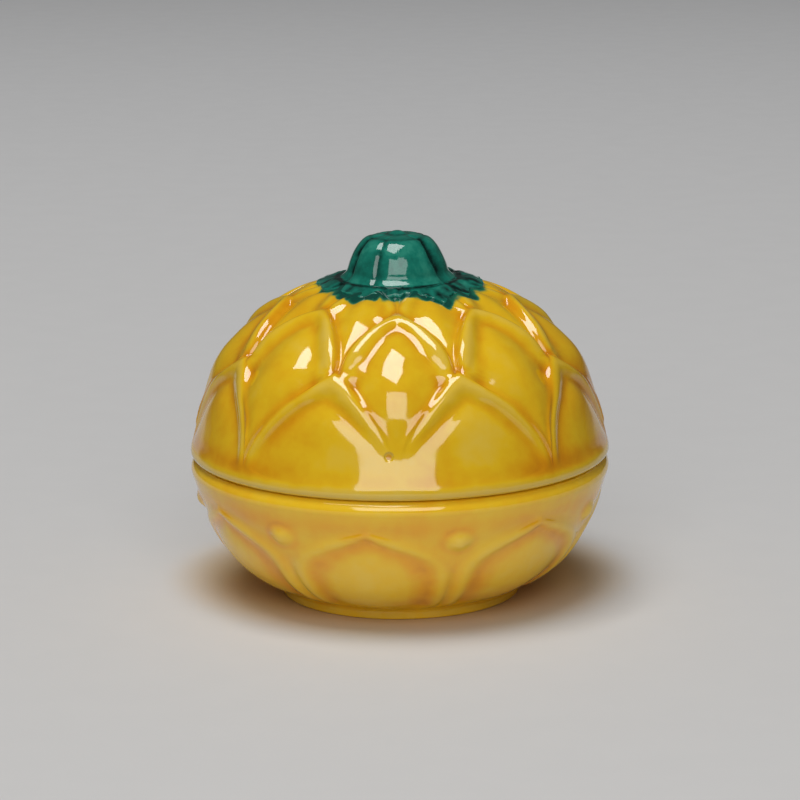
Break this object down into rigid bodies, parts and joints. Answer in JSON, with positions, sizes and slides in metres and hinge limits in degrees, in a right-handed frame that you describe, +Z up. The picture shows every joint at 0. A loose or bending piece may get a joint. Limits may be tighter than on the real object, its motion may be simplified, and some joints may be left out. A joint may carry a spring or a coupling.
{
  "type": "kogo incense box",
  "caption": "Small round lidded incense box of yellow glazed clay, its dome lid and bowl moulded as overlapping petals, with a green frilled calyx and fluted stalk as the knob.",
  "frame": {"origin": "on the axis of the box, on the plane the foot ring stands on", "axes": "+Z up along the axis of the box, -Y towards the viewer of the picture, +X to the right"},
  "size_m": [0.07, 0.07, 0.0612],
  "materials": {
    "yellow_glaze": "glossy transparent yellow glaze over pale clay, amber where it pools in the grooves",
    "green_glaze": "glossy deep green glaze, darker in the flutes",
    "bare_clay": "unglazed pale clay, smooth from wiping"
  },
  "bodies": {
    "base": {"foot_ring": "yellow_glaze", "base_bowl": "yellow_glaze", "seat_flange": "bare_clay"},
    "lid": {"lid_dome": "yellow_glaze", "calyx": "green_glaze", "stalk_knob": "green_glaze"}
  },
  "joints": [
    {"name": "lid_lift", "type": "slide", "parent": "base", "child": "lid", "axis": [0, 0, 1], "range_m": [0, 0.05]}
  ]
}
